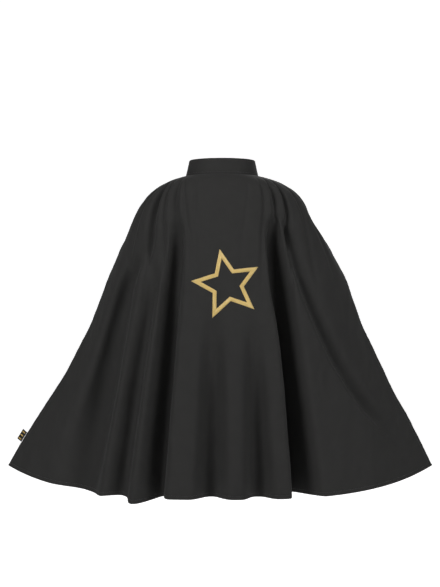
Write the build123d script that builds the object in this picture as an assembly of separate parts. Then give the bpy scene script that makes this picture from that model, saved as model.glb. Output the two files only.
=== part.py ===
"""A child's superhero cape: one flared cloth shell sewn into a stand collar that closes in front.

Millimetres. The origin is the centre of the neck opening, level with the neck seam.
+Z is up, +Y is the way the wearer faces and +X is the wearer's right-hand side.

The cloth is described by two parameters. q runs across it, from -1 on the wearer's left front
edge, through 0 at the centre of the back, to +1 on the right front edge. v runs down it: 0 is
the neck seam, 1 is the shoulder ring where the cloth leaves the shoulders, and 2 is the hem.
"""

from build123d import *
import os
from math import cos, exp, hypot, pi, radians, sin, sqrt

# Cloth
CLOTH = 0.9  # shell thickness
NECK_R = 68.5  # radius of the neck seam
FRONT_EDGE_DEG = 135.0  # how far round the neck each front edge starts, from the centre back
NECK_SLOPE_DROP = 11.0  # how far the first control point of the yoke curve lies below the neck
NECK_REACH = 0.64  # how far out that point lies, as a share of the way to the ring
RING_X = 3.0  # the ring lies a little to the right
RING_HALF_WIDTH = 189.0
RING_DEPTH = 128.0
RING_Y = 16.0  # the ring's two ends lie this far in front of the neck centre
RING_Z = -110.0
YOKE_TANGENT = 64.0  # length of the straight run above the ring
YOKE_LENGTH = 190.0  # from the neck seam to the ring, over the shoulder
SKIRT_LENGTH = 500.0  # from the ring to the hem
HEM_HALF_WIDTH = 401.0
HEM_BACK_Y = -205.0
HEM_CORNER_Y = 0.0
HEM_BOW = 2.3  # exponent of the hem's curve in plan
HEM_Z = -584.0
HEM_CORNER_LIFT = 37.0  # the hem rises by this much towards each front corner
HEM_LIFT_POWER = 4.0
HEM_DIPS = ((-0.40, 11.0, 0.08), (-0.60, 3.0, 0.10))  # place, drop and half width

# Folds that run down to the hem: place across the cloth at the ring and at the hem, depth at the
# hem, half width, how far above the ring the fold begins, how early it deepens (0 is evenly,
# small values are soonest) and how far its bottom leans along the hem, as a share of its depth.
FOLDS = (
    (-0.66, -0.66, 38.0, 0.085, 0.0, 0.0, 0.0),
    (-0.41, -0.483, 40.0, 0.050, 20.0, 0.30, 0.0),
    (-0.30, -0.322, 62.0, 0.048, 35.0, 0.12, 0.05),
    (-0.05, -0.05, 44.0, 0.056, -130.0, 0.30, 0.0),
    (0.15, 0.168, 40.0, 0.050, -160.0, 0.30, 0.0),
    (0.325, 0.380, 84.0, 0.046, 40.0, 0.10, -0.05),
)
FOLD_POWER = 2.5  # 2 would give folds a pointed bottom, larger values a flatter one

# Each front edge strays inwards from straight: how far below the ring, half width and how far
EDGE_BOWS = {
    -1: ((240.0, 170.0, 19.0), (510.0, 130.0, -8.0)),
    1: ((-35.0, 35.0, 14.0), (95.0, 60.0, -10.0), (250.0, 170.0, 9.0)),
}
EDGE_BOW_FROM = 0.68  # the bow starts this far across

# Wings: the side parts of the shell that swing about a straight fold
LEFT_FOLD_Q = -0.66
RIGHT_FOLD_Q = 0.66
FOLD_GAP = 0.0045  # clearance each side of a fold line, as a share of the half width

# Collar
COLLAR_R = 69.0  # outer radius at the neck seam
COLLAR_HEIGHT = 30.0
COLLAR_LEAN = 0.22  # inward lean per millimetre of height
COLLAR_FOOT = 0.5  # height of the band's lower edge above the shell
OUTER_PLY = (0.0, 0.8)  # depths of each layer's two faces below the outer face
INTERLINING_PLY = (0.9, 1.7)
FACING_PLY = (1.8, 2.6)
NECK_TAPE_PLY = (2.7, 3.2)
NECK_TAPE_Z = (-7.0, 6.0)
INTERLINING_MARGIN = 3.0  # the stiffener stops short of the band's long edges
END_HINGE_DEG = 138.0  # where the free collar ends begin
END_HINGE_GAP_DEG = 1.0
END_TIP_DEG = 197.0  # both ends run past the front centre and overlap there
END_STEP = 2.4  # one end steps out and the other steps in by this much
END_STEP_DEG = (140.0, 158.0)
TAPE_DEG = (167.0, 193.0)
TAPE_Z = (5.0, 25.0)
LOOP_TAPE_PLY = (2.65, 3.70)  # on the inner face of the outer end
HOOK_TAPE_PLY = (-0.95, -0.05)  # on the outer face of the inner end

# Emblem on the back: a plain star outline in satin stitch, with a backing inside
EMBLEM_X = 9.0
EMBLEM_Z = -206.0
EMBLEM_R = 66.0
EMBLEM_INNER_SHARE = 0.46
EMBLEM_BAND = 8.0
EMBLEM_TILT_DEG = -12.0
EMBLEM_LAYER = (0.08, 0.9)
BACKING_R = 72.0
BACKING_LAYER = (-1.4, -1.0)
EMBLEM_COLUMNS = (12, 41)  # the middle's columns that the emblem and its backing lie on

# Labels and loop
LABEL_LENGTH = 21.0
LABEL_REACH = 16.0
LABEL_THICKNESS = 1.0
LABEL_EDGE_GAP = 0.5
LABEL_PLACE = 0.88  # share of the way down the left front edge
CARE_WIDTH = 26.0
CARE_LENGTH = 32.0
CARE_THICKNESS = 0.5
CARE_Y = -64.4
LOOP_HALF_WIDTH = 22.0
LOOP_DROP = 44.0
LOOP_TAPE_WIDTH = 5.0
LOOP_THICKNESS = 0.9
LOOP_Y = -61.8
SEWN_LINE_Z = -3.0

# Stitching
THREAD_WIDTH = 0.6
THREAD_LAYER = (0.08, 0.38)
HEM_STITCH_INSET = 7.0

# Tiles of the shell: how many across each piece, and the v values where rows of tiles meet.
# The gap above the wings is the row before WING_ROW.
LEFT_COLUMNS = 11
MIDDLE_COLUMNS = 52
RIGHT_COLUMNS = 10
STITCH_ROWS = (2 + HEM_STITCH_INSET / HEM_Z, 2 + (HEM_STITCH_INSET - THREAD_WIDTH) / HEM_Z)
ROWS = [0, 0.8, 1, 1.042, 1.05, 1.25, 1.6, *STITCH_ROWS, 2]
WING_ROW = 4


def mix(a, b, t):
    """The point a share t of the way from a to b."""
    return tuple(x + (y - x) * t for x, y in zip(a, b))


def around(radius, degrees, z):
    """A point at that radius and angle round the neck. 0 is the centre back, + is to the right."""
    a = radians(degrees)
    return (radius * sin(a), -radius * cos(a), z)


def ring_point(q):
    """Where the cloth leaves the shoulders."""
    a = q * pi / 2
    return (RING_X + RING_HALF_WIDTH * sin(a), RING_Y - RING_DEPTH * cos(a), RING_Z)


def hem_point(q):
    """The hem before it is folded."""
    y = HEM_CORNER_Y + (HEM_BACK_Y - HEM_CORNER_Y) * (1 - abs(q) ** HEM_BOW)
    z = HEM_Z + HEM_CORNER_LIFT * abs(q) ** HEM_LIFT_POWER
    z -= sum(drop * exp(-(((q - place) / width) ** 2)) for place, drop, width in HEM_DIPS)
    return (HEM_HALF_WIDTH * q, y, z)


def fold_direction(q):
    """Horizontal outward direction of the hem."""
    step = 1e-3
    a = hem_point(q - step)
    b = hem_point(q + step)
    x = b[0] - a[0]
    y = b[1] - a[1]
    return (y / hypot(x, y), -x / hypot(x, y), 0.0)


def below_ring(v):
    """How far down the cloth lies from the ring, negative above it."""
    return (v - 1) * (SKIRT_LENGTH if v > 1 else YOKE_LENGTH)


def fold_shift(q, v):
    """How far the folds push the cloth inwards, and how far they draw it along the hem."""
    inwards = 0.0
    along = 0.0
    for at_ring, at_hem, deep, width, above, early, lean in FOLDS:
        place = at_hem + (at_ring - at_hem) * min(1.0, 2 - v) ** 3
        share = max(0.0, (below_ring(v) + above) / (SKIRT_LENGTH + above))
        grown = (1 + early) * share**1.5 / (share**1.5 + early) if early else share
        across = (q - place) / width
        bump = deep * grown * exp(-(abs(across) ** FOLD_POWER))
        inwards += bump
        along += lean * bump
    return inwards, along


def edge_bow(q, v):
    """How far the front edges stray from straight, as a shift along X."""
    side = 1 if q > 0 else -1
    t = max(0.0, (abs(q) - EDGE_BOW_FROM) / (1 - EDGE_BOW_FROM))
    bow = sum(
        inwards * exp(-(((below_ring(v) - place) / width) ** 2))
        for place, width, inwards in EDGE_BOWS[side]
    )
    return -side * bow * t * t * (3 - 2 * t)


def drape(q, v):
    """A point on the outer face of the cloth."""
    ring = ring_point(q)
    hem = hem_point(q)
    if v >= 1:
        base = mix(ring, hem, v - 1)
    else:
        neck = around(NECK_R, FRONT_EDGE_DEG * q, 0.0)
        first = mix(neck, (ring[0], ring[1], 0.0), NECK_REACH)
        first = (first[0], first[1], -NECK_SLOPE_DROP)
        run = sqrt(sum((h - r) ** 2 for h, r in zip(hem, ring)))
        second = mix(ring, hem, -YOKE_TANGENT / run)
        u = 1 - v
        weights = (u**3, 3 * u * u * v, 3 * u * v * v, v**3)
        controls = (neck, first, second, ring)
        base = [sum(w * p[k] for w, p in zip(weights, controls)) for k in range(3)]
    outward = fold_direction(q)
    inwards, along = fold_shift(q, v)
    x = base[0] - outward[0] * inwards - outward[1] * along + edge_bow(q, v)
    y = base[1] - outward[1] * inwards + outward[0] * along
    return (x, y, base[2])


def drape_normal(q, v):
    """The cloth's outward normal."""
    step = 2e-3
    across = Vector(*drape(min(1, q + step), v)) - Vector(*drape(max(-1, q - step), v))
    down = Vector(*drape(q, min(2, v + step))) - Vector(*drape(q, max(0, v - step)))
    return down.cross(across).normalized()


def cloth_point(q, v, offset):
    """A point of the cloth moved outwards by offset."""
    return Vector(*drape(q, v)) + drape_normal(q, v) * offset


def handles(a, b):
    """The four Bezier controls from a to b, each as (place, weight) pairs that sum to it."""
    step = (b - a) / 40
    pull = (b - a) / 3 / (2 * step)
    near_a = [(a, 1 - 3 * pull), (a + step, 4 * pull), (a + 2 * step, -pull)]
    near_b = [(b, 1 - 3 * pull), (b - step, 4 * pull), (b - 2 * step, -pull)]
    return [[(a, 1.0)], near_a, near_b, [(b, 1.0)]]


def control_net(q_span, v_span, offset):
    """A 4 by 4 Bezier net that meets the cloth, and its slopes, at the four corners of a tile."""
    net = []
    for v_terms in handles(*v_span):
        row = []
        for q_terms in handles(*q_span):
            point = Vector(0, 0, 0)
            for v, v_weight in v_terms:
                for q, q_weight in q_terms:
                    point += cloth_point(q, v, offset) * (v_weight * q_weight)
            row.append(point)
        net.append(row)
    return net


def cloth(columns, rows, keep, inside, outside):
    """A closed solid between two offsets of the cloth, tile by tile.

    columns and rows are the places where tiles meet. keep(i, j) tells whether the tile in
    column i and row j belongs to the piece.
    """
    tiles = {(i, j) for i in range(len(columns) - 1) for j in range(len(rows) - 1) if keep(i, j)}
    faces = []
    for i, j in sorted(tiles):
        q_span = (columns[i], columns[i + 1])
        v_span = (rows[j], rows[j + 1])
        outer = control_net(q_span, v_span, outside)
        inner = control_net(q_span, v_span, inside)
        faces.append(Face.make_bezier_surface(outer))
        faces.append(Face.make_bezier_surface(inner))
        rims = {
            (i, j - 1): [outer[0], inner[0]],
            (i, j + 1): [outer[3], inner[3]],
            (i - 1, j): [[row[0] for row in outer], [row[0] for row in inner]],
            (i + 1, j): [[row[3] for row in outer], [row[3] for row in inner]],
        }
        for neighbour, rim in rims.items():
            if neighbour not in tiles:
                faces.append(Face.make_bezier_surface(rim))
    return Solid(Shell(faces))


def spread(a, b, count):
    """count + 1 evenly spaced values from a to b."""
    return [a + (b - a) * i / count for i in range(count + 1)]


def everywhere(i, j):
    """Keeps every tile."""
    return True


def shell_columns():
    """Where tiles meet across the left wing, the middle and the right wing."""
    left = spread(-1, LEFT_FOLD_Q - FOLD_GAP, LEFT_COLUMNS)
    middle = spread(LEFT_FOLD_Q + FOLD_GAP, RIGHT_FOLD_Q - FOLD_GAP, MIDDLE_COLUMNS)
    right = spread(RIGHT_FOLD_Q + FOLD_GAP, 1, RIGHT_COLUMNS)
    return left, middle, right


def shell_parts():
    """The shell: the yoke and back panel in one, and the two wings, parted along the fold lines."""
    left, middle, right = shell_columns()
    first = LEFT_COLUMNS + 1
    last = LEFT_COLUMNS + MIDDLE_COLUMNS
    columns = left + middle + right
    back = cloth(columns, ROWS, lambda i, j: j < WING_ROW - 1 or first <= i <= last, -CLOTH, 0)
    left_wing = cloth(left, ROWS[WING_ROW:], everywhere, -CLOTH, 0)
    right_wing = cloth(right, ROWS[WING_ROW:], everywhere, -CLOTH, 0)
    return back, left_wing, right_wing


def collar_radius(z, depth):
    """Radius of the collar at a height, at a depth below its outer face."""
    return COLLAR_R - COLLAR_LEAN * z - depth


def collar_arc(start_deg, end_deg, z_span, ply):
    """One layer of the collar's round part."""
    z0, z1 = z_span
    corners = [
        (collar_radius(z0, ply[0]), 0, z0),
        (collar_radius(z1, ply[0]), 0, z1),
        (collar_radius(z1, ply[1]), 0, z1),
        (collar_radius(z0, ply[1]), 0, z0),
    ]
    profile = make_face(Polyline(*corners, close=True))
    profile = profile.rotate(Axis.Z, start_deg - 90)
    return revolve(profile, axis=Axis.Z, revolution_arc=end_deg - start_deg)


def end_step(degrees):
    """How far a collar end has stepped out of the round, from 0 to 1."""
    start, stop = END_STEP_DEG
    t = min(1.0, max(0.0, (degrees - start) / (stop - start)))
    return t * t * (3 - 2 * t)


def collar_end(side, start_deg, end_deg, z_span, ply):
    """One layer of a free collar end. side -1 is the left end, which steps out, and 1 the right."""
    step = -side * END_STEP
    samples = 14
    angles = [start_deg + (end_deg - start_deg) * i / samples for i in range(samples + 1)]
    faces = []
    for z in z_span:
        edges = []
        for depth in ply:
            points = [
                around(collar_radius(z, depth) + step * end_step(a), side * a, z) for a in angles
            ]
            edges.append(Spline(*points))
        caps = [
            Line(edges[0] @ 0, edges[1] @ 0),
            Line(edges[0] @ 1, edges[1] @ 1),
        ]
        faces.append(make_face(edges + caps))
    return loft(faces, ruled=True)


def collar_layers():
    """Each layer of the collar: its round part and its two ends."""
    full = (COLLAR_FOOT, COLLAR_HEIGHT)
    inner = (COLLAR_FOOT + INTERLINING_MARGIN, COLLAR_HEIGHT - INTERLINING_MARGIN)
    layers = {
        "collar_outer": (full, OUTER_PLY),
        "collar_interlining": (inner, INTERLINING_PLY),
        "collar_facing": (full, FACING_PLY),
    }
    hinge = END_HINGE_DEG
    gap = END_HINGE_GAP_DEG
    parts = {}
    for name, (z_span, ply) in layers.items():
        tip = END_TIP_DEG - (2.0 if name == "collar_interlining" else 0.0)
        parts[name + "_back"] = collar_arc(gap - hinge, hinge - gap, z_span, ply)
        parts[name + "_left_end"] = collar_end(-1, hinge, tip, z_span, ply)
        parts[name + "_right_end"] = collar_end(1, hinge, tip, z_span, ply)
    return parts


def star_outline(radius, turn_deg):
    """A five-pointed star in the XZ plane, centred on the emblem's place."""
    corners = []
    for i in range(10):
        r = radius if i % 2 == 0 else radius * EMBLEM_INNER_SHARE
        a = radians(36 * i + turn_deg)
        corners.append((EMBLEM_X + r * sin(a), 0, EMBLEM_Z + r * cos(a)))
    return make_face(Polyline(*corners, close=True))


def emblem_parts():
    """The satin-stitched star and the round backing behind it, both shaped to the cloth."""
    columns = shell_columns()[1][slice(*EMBLEM_COLUMNS)]
    band_share = EMBLEM_BAND / EMBLEM_R
    ring = star_outline(EMBLEM_R, EMBLEM_TILT_DEG)
    ring -= star_outline(EMBLEM_R * (1 - 2.2 * band_share), EMBLEM_TILT_DEG)
    satin = extrude(ring, 400, dir=(0, -1, 0)) & cloth(columns, ROWS, everywhere, *EMBLEM_LAYER)
    disc = Cylinder(BACKING_R, 400, rotation=(90, 0, 0))
    disc = disc.moved(Location((EMBLEM_X, -200, EMBLEM_Z)))
    backing = disc & cloth(columns, ROWS, everywhere, *BACKING_LAYER)
    return satin, backing


def side_label_frame():
    """Where the folded label leaves the left front edge: a point, the edge's direction and the way out."""
    v = 1 + LABEL_PLACE
    point = Vector(*drape(-1, v)) - drape_normal(-1, v) * (CLOTH / 2)
    along = (Vector(*drape(-1, v + 0.03)) - Vector(*drape(-1, v - 0.03))).normalized()
    out = (Vector(*drape(-1, v)) - Vector(*drape(-0.97, v)))
    out = (out - along * out.dot(along)).normalized()
    return point, along, out


def side_label():
    """A woven label folded double, rounded at its fold."""
    point, along, out = side_label_frame()
    middle = point + out * (LABEL_EDGE_GAP + LABEL_REACH / 2)
    plane = Plane(origin=middle, x_dir=out, z_dir=along)
    body = Box(LABEL_REACH, LABEL_THICKNESS, LABEL_LENGTH)
    fold_edges = body.edges().filter_by(Axis.Z).sort_by(Axis.X)[-2:]
    body = fillet(fold_edges, LABEL_THICKNESS * 0.49)
    return plane.location * body


def care_label():
    """A plain folded care label, sewn into the neck seam at the centre back."""
    label = Box(CARE_WIDTH, CARE_THICKNESS, CARE_LENGTH)
    return label.moved(Location((0, CARE_Y + CARE_THICKNESS / 2, SEWN_LINE_Z - CARE_LENGTH / 2)))


def hanger_loop():
    """A flat tape bent into a U, sewn into the neck seam either side of the care label."""
    outer = SlotOverall(2 * LOOP_DROP, 2 * LOOP_HALF_WIDTH)
    inner = SlotOverall(2 * (LOOP_DROP - LOOP_TAPE_WIDTH), 2 * (LOOP_HALF_WIDTH - LOOP_TAPE_WIDTH))
    half = Rectangle(LOOP_DROP, 2 * LOOP_HALF_WIDTH).moved(Location((LOOP_DROP / 2, 0)))
    plane = Plane(origin=(0, LOOP_Y, SEWN_LINE_Z), x_dir=(0, 0, -1), z_dir=(0, 1, 0))
    return extrude(plane * ((outer - inner) & half), LOOP_THICKNESS)


def hem_threads():
    """The line of topstitching above the hem, in three lengths parted at the fold lines."""
    names = ("hem_thread_left", "hem_thread_back", "hem_thread_right")
    return {
        name: cloth(columns, STITCH_ROWS, everywhere, *THREAD_LAYER)
        for name, columns in zip(names, shell_columns())
    }


def collar_thread():
    """The row of stitching along the foot of the collar's round part."""
    z_span = (COLLAR_FOOT + 2.0, COLLAR_FOOT + 2.0 + THREAD_WIDTH)
    limit = END_HINGE_DEG - 2 * END_HINGE_GAP_DEG
    return collar_arc(-limit, limit, z_span, (-THREAD_LAYER[1], -THREAD_LAYER[0]))


def build():
    """Every node of the cape, by name."""
    back, left, right = shell_parts()
    satin, backing = emblem_parts()
    parts = {
        "shell_back": back,
        "shell_left_wing": left,
        "shell_right_wing": right,
        "emblem_satin_stitch": satin,
        "emblem_backing": backing,
        "side_label": side_label(),
        "care_label": care_label(),
        "hanger_loop": hanger_loop(),
        "neck_tape": collar_arc(-END_HINGE_DEG + 3, END_HINGE_DEG - 3, NECK_TAPE_Z, NECK_TAPE_PLY),
        "collar_thread": collar_thread(),
        "loop_tape": collar_end(-1, *TAPE_DEG, TAPE_Z, LOOP_TAPE_PLY),
        "hook_tape": collar_end(1, *TAPE_DEG, TAPE_Z, HOOK_TAPE_PLY),
    }
    parts.update(hem_threads())
    parts.update(collar_layers())
    return parts


os.makedirs("parts", exist_ok=True)
for node, shape in build().items():
    export_step(shape, f"parts/{node}.step")
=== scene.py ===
"""Looks of a child's superhero cape: draped cloth, stand collar, stitched star, labels, loop and closure.

Shapes are worked out in millimetres in the row frame and turned into metres when a mesh is made.
The cloth has two parameters: q runs across it from -1 (left front edge) through 0 (centre back)
to 1 (right front edge), and v runs down it, 0 at the neck seam, 1 at the shoulders, 2 at the hem.
"""

import bpy
import numpy as np
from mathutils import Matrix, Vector

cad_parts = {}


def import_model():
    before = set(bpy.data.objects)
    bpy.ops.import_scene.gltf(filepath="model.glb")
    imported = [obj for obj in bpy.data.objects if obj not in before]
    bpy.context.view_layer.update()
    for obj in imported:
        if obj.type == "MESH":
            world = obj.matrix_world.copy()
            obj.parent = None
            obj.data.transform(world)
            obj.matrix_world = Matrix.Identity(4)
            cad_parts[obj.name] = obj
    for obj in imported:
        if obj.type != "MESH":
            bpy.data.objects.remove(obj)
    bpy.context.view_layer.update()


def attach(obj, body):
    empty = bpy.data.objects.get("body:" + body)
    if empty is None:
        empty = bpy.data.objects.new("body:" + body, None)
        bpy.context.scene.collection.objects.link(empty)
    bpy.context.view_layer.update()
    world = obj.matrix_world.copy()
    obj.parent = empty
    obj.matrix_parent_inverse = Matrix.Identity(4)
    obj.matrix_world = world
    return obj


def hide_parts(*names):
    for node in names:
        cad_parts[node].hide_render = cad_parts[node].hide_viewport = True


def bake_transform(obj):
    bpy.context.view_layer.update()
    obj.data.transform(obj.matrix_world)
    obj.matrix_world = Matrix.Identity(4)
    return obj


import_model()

MM = 0.001
SEED = 7

# The drape, as in the CAD model
THICK = 0.9
NECK_R = 68.5
FRONT_EDGE = np.radians(135.0)
NECK_DROP = 11.0
NECK_REACH = 0.64
RING_MID, RING_X, RING_DEPTH, RING_Y, RING_Z = 3.0, 189.0, 128.0, 16.0, -110.0
YOKE_LENGTH, SKIRT_LENGTH = 190.0, 500.0
YOKE_TANGENT = 64.0
HEM_X, HEM_BACK, HEM_CORNER, HEM_BOW = 401.0, -205.0, 0.0, 2.3
HEM_Z, HEM_LIFT, HEM_LIFT_POWER = -584.0, 37.0, 4.0
HEM_DIPS = ((-0.40, 12.0, 0.08), (-0.62, 7.0, 0.10))
FOLDS = (
    (-0.66, -0.66, 38.0, 0.085, 0.0, 0.0, 0.0),
    (-0.41, -0.483, 40.0, 0.050, 20.0, 0.30, 0.0),
    (-0.30, -0.322, 62.0, 0.048, 35.0, 0.12, 0.05),
    (-0.05, -0.05, 44.0, 0.056, -130.0, 0.30, 0.0),
    (0.15, 0.168, 40.0, 0.050, -160.0, 0.30, 0.0),
    (0.325, 0.380, 84.0, 0.046, 40.0, 0.10, -0.05),
)
FOLD_POWER = 2.5
LEFT_BOWS = ((240.0, 170.0, 19.0), (510.0, 130.0, -8.0))
RIGHT_BOWS = ((-35.0, 35.0, 14.0), (95.0, 60.0, -10.0), (250.0, 170.0, 9.0))
BOW_FROM = 0.68
HEM_RUN = 540.0

# Pull lines over the shoulders: q at the neck, q at the shoulder ring, depth, half width
PULLS = (
    (-0.27, -0.16, 1.6, 0.022),
    (-0.38, -0.22, 2.6, 0.020),
    (-0.45, -0.305, 7.5, 0.034),
    (-0.53, -0.40, 4.5, 0.020),
    (-0.61, -0.51, 13.0, 0.036),
    (-0.72, -0.70, 3.5, 0.026),
    (0.24, 0.12, 1.6, 0.022),
    (0.36, 0.25, 4.0, 0.022),
    (0.46, 0.335, 10.0, 0.028),
    (0.55, 0.44, 10.0, 0.022),
    (0.66, 0.62, 3.0, 0.026),
    (0.74, 0.80, 3.0, 0.030),
)
# Long creases beside the outer folds: depth and half width
RIGHT_CREASE = (17.0, 0.040)
LEFT_CREASE = (22.0, 0.070)
# Half the width of the cloth at the neck, and how much it gains to the shoulders and to the hem
NECK_SPAN, YOKE_GAIN, SKIRT_GAIN = 155, 85, 300

# Hem
TURN = 9.5
TURN_THICK = 0.75
STITCH_IN = 6.5
STITCH_PITCH = 3.4
STITCH_LENGTH = 2.7
STITCH_LIFT = 0.16
STITCH_SINK = 0.25

# Collar
COLLAR_R, COLLAR_TOP, COLLAR_LEAN, COLLAR_THICK = 69.0, 30.0, 0.22, 2.6
COLLAR_MID_R = 65.0
COLLAR_ROWS = (COLLAR_TOP - 3.6, 3.4)
COLLAR_PITCH, COLLAR_STITCH, COLLAR_LIFT = 3.2, 2.5, 0.20
END_HINGE, END_TIP = 137.5, 197.0
END_STEP, STEP_START, STEP_STOP = 2.4, 140.0, 158.0
TAPE_DEG, TAPE_Z = (167.0, 193.0), (5.0, 25.0)
NECK_TAPE_DEG, NECK_TAPE_END = 134.0, 2.33

# Emblem
STAR_X, STAR_Z, STAR_R, STAR_INNER, STAR_BAND, STAR_TILT = 9.0, -206.0, 66.0, 0.46, 8.0, -12.0
INNER_R = STAR_R * (1 - 2.2 * STAR_BAND / STAR_R)
SATIN_PITCH = 0.46
BACKING_R = 72.0

# Labels and loop
LABEL_LENGTH, LABEL_REACH, LABEL_PLACE = 21.0, 16.0, 0.88
CARE_WIDTH, CARE_LENGTH, CARE_Y = 26.0, 32.0, -64.15
LOOP_HALF, LOOP_DROP, LOOP_WIDTH, LOOP_Y = 22.0, 44.0, 5.0, -61.35
SEWN_Z = -3.0

# Studio, in metres: floor, then each light's place, aim, size and power, then the camera
FLOOR_Z, FLOOR_HALF, COVE_Y, COVE_R, COVE_TOP = -1.0, 6.0, 2.6, 1.6, 4.0
LIGHTS = (
    ("key", (-1.7, -1.6, 1.0), (0, 0, -0.15), 0.9, 30.5),
    ("fill", (1.7, -1.6, 0.9), (0, 0, -0.15), 0.9, 25.5),
    ("top", (0.0, -1.3, 1.9), (0, 0, -0.1), 0.8, 6),
    ("front", (0.5, 2.6, 0.9), (0, 0, -0.3), 2.0, 30),
)
GLOW, AMBIENT = 0.85, 0.04
CAMERA_PLACE, CAMERA_LENS = (-0.004, -2.7, -0.222), 87.2


# ---------------------------------------------------------------- vectors and noise


def unit(a):
    """Each vector of a scaled to length 1."""
    return a / np.maximum(np.linalg.norm(a, axis=-1, keepdims=True), 1e-12)


def smooth(x, lo, hi):
    """0 below lo, 1 above hi, smooth between. lo may be above hi."""
    t = np.clip((x - lo) / (hi - lo), 0, 1)
    return t * t * (3 - 2 * t)


def noise(x, y, seed):
    """Smooth noise from -1 to 1 with a feature about 1 apart."""
    lattice = np.random.default_rng(SEED * 1000 + seed).uniform(-1, 1, (97, 97))
    i = np.floor(x).astype(int)
    j = np.floor(y).astype(int)
    fx = x - i
    fy = y - j
    fx = fx**3 * (fx * (fx * 6 - 15) + 10)
    fy = fy**3 * (fy * (fy * 6 - 15) + 10)
    i0, i1, j0, j1 = i % 97, (i + 1) % 97, j % 97, (j + 1) % 97
    low = lattice[i0, j0] * (1 - fx) + lattice[i1, j0] * fx
    high = lattice[i0, j1] * (1 - fx) + lattice[i1, j1] * fx
    return low * (1 - fy) + high * fy


# ---------------------------------------------------------------- the drape


def hem_curve(q):
    """The hem before it is folded, and its directions along and outwards in plan."""
    a = np.abs(q)
    y = HEM_CORNER + (HEM_BACK - HEM_CORNER) * (1 - a**HEM_BOW)
    z = HEM_Z + HEM_LIFT * a**HEM_LIFT_POWER
    for place, drop, width in HEM_DIPS:
        z = z - drop * np.exp(-(((q - place) / width) ** 2))
    point = np.stack([HEM_X * q, y, z], -1)
    slope = (HEM_CORNER - HEM_BACK) * HEM_BOW * a ** (HEM_BOW - 1) * np.sign(q)
    along = unit(np.stack([np.full_like(q, HEM_X), slope, np.zeros_like(q)], -1))
    outward = np.stack([along[..., 1], -along[..., 0], np.zeros_like(q)], -1)
    return point, along, outward


def ring_curve(q):
    """Where the cloth leaves the shoulders."""
    turn = q * np.pi / 2
    x = RING_MID + RING_X * np.sin(turn)
    return np.stack([x, RING_Y - RING_DEPTH * np.cos(turn), np.full_like(q, RING_Z)], -1)


def drape(q, v):
    """Points on the outer face of the smooth cloth."""
    q, v = np.broadcast_arrays(np.asarray(q, float), np.asarray(v, float))
    ring = ring_curve(q)
    hem, along, outward = hem_curve(q)
    run = np.linalg.norm(hem - ring, axis=-1, keepdims=True)
    s = np.clip(v - 1, 0, None)
    skirt = ring + (hem - ring) * s[..., None]
    turn = q * FRONT_EDGE
    neck = np.stack([NECK_R * np.sin(turn), -NECK_R * np.cos(turn), np.zeros_like(q)], -1)
    first = neck + (ring - neck) * NECK_REACH
    first = np.concatenate([first[..., :2], np.full_like(first[..., 2:], -NECK_DROP)], -1)
    second = ring - (hem - ring) * (YOKE_TANGENT / run)
    t = np.clip(v, None, 1)[..., None]
    u = 1 - t
    yoke = neck * u**3 + first * 3 * u * u * t + second * 3 * u * t * t + ring * t**3
    point = np.where((v >= 1)[..., None], skirt, yoke)
    below = (v - 1) * np.where(v > 1, SKIRT_LENGTH, YOKE_LENGTH)
    for at_ring, at_hem, deep, width, above, early, lean in FOLDS:
        share = np.clip((below + above) / (SKIRT_LENGTH + above), 0, None)
        grown = (1 + early) * share**1.5 / (share**1.5 + early) if early else share
        x = (q - at_hem - (at_ring - at_hem) * (1 - s) ** 3) / width
        bump = (deep * grown * np.exp(-(np.abs(x) ** FOLD_POWER)))[..., None]
        point = point - outward * bump + along * lean * bump
    for side, bows in ((-1, LEFT_BOWS), (1, RIGHT_BOWS)):
        for place, width, inwards in bows:
            bow = inwards * smooth(side * q, BOW_FROM, 1) * np.exp(-(((below - place) / width) ** 2))
            point = point - side * np.stack([bow, np.zeros_like(q), np.zeros_like(q)], -1)
    return point


def normals_of(function, q, v):
    """Outward unit normals of a surface given as function(q, v)."""
    step = 1e-3
    across = function(q + step, v) - function(q - step, v)
    down = function(q, v + step) - function(q, v - step)
    return unit(np.cross(down, across))


def edge_speed(v):
    """Millimetres of cloth for each unit of q, at the front edge."""
    e = 1e-3
    return np.linalg.norm(drape(np.ones_like(v), v) - drape(np.full_like(v, 1 - e), v), axis=-1) / e


def edge_distances(q, v):
    """Distance from the hem and from the nearer front edge, along the cloth."""
    hem, _, _ = hem_curve(q)
    run = np.linalg.norm(hem - ring_curve(q), axis=-1)
    return (2 - v) * run, (1 - np.abs(q)) * edge_speed(v)


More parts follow.
